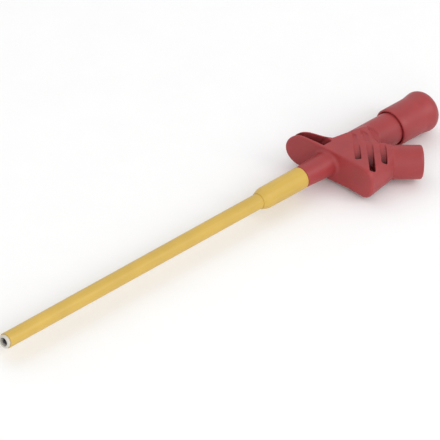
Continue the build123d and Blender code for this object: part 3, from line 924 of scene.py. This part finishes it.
class CLIP_OT_tubes(bpy.types.Operator):
    """Makes the yellow tube, its white liner and the sleeve at its root"""
    bl_idname = "clip.tubes"
    bl_label = "Tube, liner and sleeve"

    def execute(self, context):
        sizes = context.scene.clip_sizes
        colours = context.scene.clip_colours
        bore = sizes.liner_bore / 2
        liner = LINER_HIGH[1]
        tube = TUBE_HIGH[1]
        root = sizes.tube_root / 2
        end = TUBE_HIGH[0]
        start = TUBE_LOW[0]
        yellow = extruded("extruded yellow", tuple(colours.yellow), colours.yellow_gloss, 0.12)
        white = extruded("extruded white", tuple(colours.white), 0.42, 0.08)

        line = softened([
            (liner, start, 0.05), (tube, start, 0.12), (tube, SLEEVE_LOW[0], 0.02), (root, end, 0.05),
            (liner, end, 0.05)])
        points, faces = turned(split_long(line, 4.0), 64)
        dress(closed_mesh("yellow_tube", points, faces, "grip", "yellow_plastic", "insulating_tube"), yellow)

        line = softened([
            (bore, 0.0, 0.28), (liner, 0.0, 0.3), (liner, end, 0.05), (bore, end, 0.05)])
        points, faces = turned(split_long(line, 4.0), 64)
        dress(closed_mesh("white_liner", points, faces, "grip", "white_plastic", "liner_tube"), white)

        low = SLEEVE_LOW[0]
        high = SLEEVE_HIGH[0]
        rear = SLEEVE_HIGH[1]
        spigot = sizes.spigot / 2
        seam = low + sizes.sleeve_length
        line = softened([
            (tube + SEAT_GAP, low, 0.03), (tube + SLEEVE_LIP, low, 0.12),
            (sizes.sleeve_front / 2, low + sizes.sleeve_chamfer, 0.7), (rear, seam - SLEEVE_SEAM, 0.15),
            (rear - SLEEVE_SEAM_DEPTH, seam, 0.05), (spigot, seam, 0.05), (spigot, high, 0.1),
            (root + SEAT_GAP, high, 0.05), (root + SEAT_GAP, end, 0.05)])
        points, faces = turned(split_long(line, 3.0), 72)
        dress(closed_mesh("yellow_sleeve", points, faces, "grip", "yellow_plastic", "root_sleeve"), yellow)
        return {"FINISHED"}


class CLIP_OT_grip(bpy.types.Operator):
    """Makes the red grip's moulded skin with its wings, gill slots, neck and outlet"""
    bl_idname = "clip.grip"
    bl_label = "Grip"

    def execute(self, context):
        sizes = context.scene.clip_sizes
        colours = context.scene.clip_colours
        step = sizes.grain * 1.0
        low = GRIP_LOW - 2 * step
        high = GRIP_HIGH + 2 * step
        axes = [np.arange(a, b + step, step) for a, b in zip(low, high)]
        axes[2] = (np.arange(len(axes[2])) - (len(axes[2]) - 1) / 2) * step
        low = np.array([a[0] for a in axes])
        x, y, z = np.meshgrid(*axes, indexing="ij")
        points, faces = skin(grip_field(x, y, z, sizes), low, step)
        if len(points) == 0:
            raise RuntimeError("the grip's field has no surface")
        points = relaxed(points, faces, lambda x, y, z: grip_field(x, y, z, sizes), step)
        piece = mesh_piece("grip_moulding", points, faces.tolist(), "grip", "red_plastic", "housing")
        dress(piece, moulded_red(tuple(colours.red), colours.red_gloss))
        return {"FINISHED"}


class CLIP_OT_cap(bpy.types.Operator):
    """Makes the red thumb cap with its flare, dome and inner stem"""
    bl_idname = "clip.cap"
    bl_label = "Thumb cap"

    def execute(self, context):
        sizes = context.scene.clip_sizes
        rim = CAP_LOW[0]
        end = CAP_HIGH[0]
        big = CAP_HIGH[1]
        outer = sizes.cap_dia / 2
        inner = outer - sizes.cap_wall
        flare_start = rim + sizes.cap_straight
        flare_end = flare_start + sizes.cap_flare
        crown = end - flare_end
        s = np.linspace(0, 1, 14)[1:]
        ease = s * s * (3 - 2 * s) * 0.55 + s * 0.45
        flare = np.stack([outer + (big - outer) * ease, flare_start + sizes.cap_flare * s], axis=1)
        a = np.linspace(0, np.pi / 2, 22)[1:]
        dome = np.stack([big * np.cos(a) ** 0.86, flare_end + crown * np.sin(a)], axis=1)
        dome[-1] = (0.0, end)
        floor = end - CROWN_WALL
        front = floor - STEM_LENGTH
        hole_end = front + STEM_HOLE_DEPTH
        inside = np.array([
            (0.0, hole_end), (STEM_HOLE_RADIUS, hole_end), (STEM_HOLE_RADIUS, front),
            (STEM_RADIUS, front), (STEM_RADIUS, floor), (inner, floor), (inner, rim + CAP_INNER_CHAMFER),
            (inner + CAP_INNER_CHAMFER, rim), (outer - CAP_RIM_WIDTH, rim), (outer, rim + CAP_RIM_DEPTH),
            (outer, flare_start)])
        line = np.concatenate([flare, dome, inside])
        points, faces = turned(split_long(line, 2.5), 96)
        piece = closed_mesh("thumb_cap_moulding", points, faces, "plunger", "red_plastic", "thumb_cap")
        dress(piece, bpy.data.materials["moulded red"])
        return {"FINISHED"}


class CLIP_OT_socket(bpy.types.Operator):
    """Makes the turned socket and its black insulating tower in the outlet"""
    bl_idname = "clip.socket"
    bl_label = "Socket"

    def execute(self, context):
        sizes = context.scene.clip_sizes
        colours = context.scene.clip_colours
        lean = sizes.outlet_angle
        where = {
            "origin": (sizes.outlet_place, 0.0, 0.0),
            "along": (math.cos(lean), -math.sin(lean), 0.0),
            "across": (math.sin(lean), math.cos(lean), 0.0),
        }
        mouth = sizes.outlet_end - SOCKET_RECESS
        bottom = mouth - SOCKET_DEPTH
        line = softened([
            (0.0, TAIL_END, 0.0), (TAIL_RADIUS, TAIL_END, 0.25), (TAIL_RADIUS, SOCKET_SHOULDER, 0.03),
            (SOCKET_RADIUS, SOCKET_SHOULDER, 0.1), (SOCKET_RADIUS, mouth, 0.15),
            (SOCKET_BORE_RADIUS, mouth, 0.25), (SOCKET_BORE_RADIUS, bottom, 0.1),
            (0.0, bottom - DRILL_POINT, 0.0)])
        points, faces = turned(split_long(line, 3.0), 64, **where)
        piece = closed_mesh("socket_turning", points, faces, "grip", "nickel", "socket_sleeve")
        dress(piece, turned_metal(
            "nickel plate", tuple(colours.nickel), 0.22, (0.0, 0.0, lean), 3.0, 0.08))
        top = mouth + TOWER_PROUD
        line = softened([
            (SOCKET_RADIUS, TOWER_START, 0.02), (TOWER_FLANGE_RADIUS, TOWER_START, 0.05),
            (TOWER_FLANGE_RADIUS, TOWER_FLANGE_END, 0.15), (TOWER_RADIUS, TOWER_FLANGE_END, 0.2),
            (TOWER_RADIUS, top, 0.2), (SOCKET_RADIUS, top, 0.05)])
        points, faces = turned(split_long(line, 3.0), 64, **where)
        piece = closed_mesh("socket_tower", points, faces, "grip", "black_plastic", "socket_insulator")
        dress(piece, black_insulator(tuple(colours.black)))
        return {"FINISHED"}


class CLIP_OT_inner(bpy.types.Operator):
    """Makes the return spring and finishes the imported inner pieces"""
    bl_idname = "clip.inner"
    bl_label = "Inner pieces"

    def execute(self, context):
        sizes = context.scene.clip_sizes
        colours = context.scene.clip_colours
        steel = drawn_steel("drawn steel", tuple(colours.steel), (0.46, 0.40, 0.33))
        blackened = drawn_steel("blackened steel", tuple(colours.jaws), (0.05, 0.04, 0.06))
        brass = turned_metal("turned brass", tuple(colours.brass), 0.26, (0.0, 0.0, 0.0), 2.5, 0.10)
        points, faces = self.coil(sizes)
        coil = closed_mesh("return_coil", points, faces, "grip", "spring_steel", "return_spring")
        dress(coil, steel)
        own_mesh(coil)
        line = softened([
            (0.0, ROD_LOW[0], 0.0), (ROD_HIGH[1], ROD_LOW[0], 0.2), (ROD_HIGH[1], ROD_HIGH[0], 0.2),
            (0.0, ROD_HIGH[0], 0.0)])
        points, faces = turned(split_long(line, 8.0), 32)
        dress(closed_mesh("plunger_rod", points, faces, "plunger", "spring_steel", "push_rod"), steel)
        dress_nodes(steel, "stop_ring", "spring_seat", "thrust_washer", "tail_washer", "jaw_pins")
        dress_nodes(blackened, "jaw_left", "jaw_right")
        dress_nodes(brass, "contact_block", "contact_cage", "cap_insert", "jaw_carrier")
        dress_nodes(bpy.data.materials["black insulator"], "block_washer", "guide_ring")
        dress_nodes(bpy.data.materials["extruded white"], "rod_guide")
        return {"FINISHED"}

    def coil(self, sizes):
        """Round wire carried along a helix whose end turns lie flat.

        At angle a the wire's middle is at (place, R cos a, R sin a). Its place rises evenly with a, and
        stays level over the first and last three quarters of a turn. Round it goes a circle of the
        wire's radius, across the wire's direction. Returns the points and the faces as a list.
        """
        wire = sizes.spring_wire / 2
        radius = (SPRING_HIGH[1] - SPRING_LOW[1]) / 2 - wire
        start = SPRING_LOW[0] + wire
        end = SPRING_HIGH[0] - wire
        turns = sizes.spring_turns + 1.5
        a = np.linspace(0, 2 * np.pi * turns, int(turns * 36))
        share = np.clip((a / (2 * np.pi) - 0.75) / (turns - 1.5), 0, 1)
        middle = np.stack([start + (end - start) * share, radius * np.cos(a), radius * np.sin(a)], axis=1)
        tangent = np.gradient(middle, axis=0)
        tangent /= np.linalg.norm(tangent, axis=1, keepdims=True)
        outwards = np.stack([0 * a, np.cos(a), np.sin(a)], axis=1)
        aside = np.cross(tangent, outwards)
        b = np.linspace(0, 2 * np.pi, 12, endpoint=False)
        rings = (middle[:, None] + wire * (np.cos(b)[None, :, None] * outwards[:, None]
                                           + np.sin(b)[None, :, None] * aside[:, None]))
        n, m = len(a), len(b)
        i, j = np.meshgrid(np.arange(n - 1), np.arange(m), indexing="ij")
        j2 = (j + 1) % m
        quads = np.stack([i * m + j, i * m + j2, (i + 1) * m + j2, (i + 1) * m + j], axis=-1)
        points = np.concatenate([rings.reshape(-1, 3), middle[[0, -1]]])
        j = np.arange(m)
        j2 = (j + 1) % m
        first = np.stack([j2, j, np.full(m, n * m)], axis=-1)
        last = np.stack([(n - 1) * m + j, (n - 1) * m + j2, np.full(m, n * m + 1)], axis=-1)
        return points, quads.reshape(-1, 4).tolist() + first.tolist() + last.tolist()


class CLIP_OT_stage(bpy.types.Operator):
    """Makes the floor, the soft lights and the camera at the photograph's angle"""
    bl_idname = "clip.stage"
    bl_label = "Stage"

    def execute(self, context):
        stage = context.scene.clip_stage
        floor_z = CAP_LOW[2] * MM
        mesh = bpy.data.meshes.new("floor")
        half = 1.5
        mesh.from_pydata([(-half, -half, floor_z), (half, -half, floor_z), (half, half, floor_z),
                          (-half, half, floor_z)], [], [(0, 1, 2, 3)])
        floor = bpy.data.objects.new("floor", mesh)
        context.scene.collection.objects.link(floor)
        dress(floor, floor_finish())

        world = bpy.data.worlds.new("even white")
        world.use_nodes = True
        back = world.node_tree.nodes["Background"]
        back.inputs["Color"].default_value = (1.0, 1.0, 1.0, 1.0)
        back.inputs["Strength"].default_value = stage.sky
        context.scene.world = world
        context.scene.view_settings.view_transform = "Standard"

        centre = Vector((0.11, 0.0, 0.0))
        self.light("key", centre, (0.10, 0.45, 0.62), 0.55, stage.key_power)
        self.light("fill", centre, (-0.55, -0.50, 0.35), 0.5, stage.fill_power)
        self.light("side", centre, (0.30, -0.65, 0.55), 0.5, stage.side_power)
        self.camera(context, stage)
        return {"FINISHED"}

    def light(self, name, centre, offset, size, power):
        """A square soft light at an offset in metres from the clip's middle, which it looks at."""
        data = bpy.data.lights.new(name, "AREA")
        data.size = size
        data.energy = power
        lamp = bpy.data.objects.new(name, data)
        lamp.location = centre + Vector(offset)
        lamp.rotation_mode = "QUATERNION"
        lamp.rotation_quaternion = Vector(offset).to_track_quat("Z", "Y")
        bpy.context.scene.collection.objects.link(lamp)

    def camera(self, context, stage):
        """Camera whose view's middle lies a given way right of and above the tube's mouth."""
        a, e, turn = stage.azimuth, stage.elevation, stage.roll
        back = Vector((math.sin(a) * math.cos(e), -math.cos(a) * math.cos(e), math.sin(e)))
        level = Vector((math.cos(a), math.sin(a), 0.0))
        rise = back.cross(level)
        right = level * math.cos(turn) + rise * math.sin(turn)
        up = rise * math.cos(turn) - level * math.sin(turn)
        data = bpy.data.cameras.new("camera")
        data.sensor_width = 36.0
        data.lens = stage.lens
        distance = stage.frame_width * stage.lens / data.sensor_width
        middle = (LINER_LOW[0] + CAP_HIGH[0]) / 2 * Vector((1.0, 0.0, 0.0)).dot(back)
        target = right * stage.mouth_right + up * stage.mouth_up + back * middle
        place = Matrix((right, up, back)).transposed().to_4x4()
        place.translation = (target + back * distance) * MM
        camera = bpy.data.objects.new("camera", data)
        data.clip_start = 0.1
        data.clip_end = 50.0
        context.scene.collection.objects.link(camera)
        camera.matrix_world = place
        context.scene.camera = camera


OPERATORS = (CLIP_OT_tubes, CLIP_OT_grip, CLIP_OT_cap, CLIP_OT_socket, CLIP_OT_inner, CLIP_OT_stage)


class CLIP_PT_panel(bpy.types.Panel):
    """Lists the pieces and their sizes"""
    bl_idname = "CLIP_PT_panel"
    bl_label = "Test clip"
    bl_space_type = "VIEW_3D"
    bl_region_type = "UI"
    bl_category = "Test clip"

    def draw(self, context):
        column = self.layout.column()
        for operator in OPERATORS:
            column.operator(operator.bl_idname)
        for group in (context.scene.clip_sizes, context.scene.clip_colours, context.scene.clip_stage):
            box = self.layout.box()
            for key in group.__annotations__:
                box.prop(group, key)


CLASSES = (ClipSizes, ClipColours, ClipStage, *OPERATORS, CLIP_PT_panel)


def register():
    for made in CLASSES:
        bpy.utils.register_class(made)
    bpy.types.Scene.clip_sizes = bpy.props.PointerProperty(type=ClipSizes)
    bpy.types.Scene.clip_colours = bpy.props.PointerProperty(type=ClipColours)
    bpy.types.Scene.clip_stage = bpy.props.PointerProperty(type=ClipStage)


def unregister():
    del bpy.types.Scene.clip_stage
    del bpy.types.Scene.clip_colours
    del bpy.types.Scene.clip_sizes
    for made in reversed(CLASSES):
        bpy.utils.unregister_class(made)


def main():
    register()
    for operator in OPERATORS:
        group, action = operator.bl_idname.split(".")
        getattr(getattr(bpy.ops, group), action)()


if __name__ == "__main__":
    main()
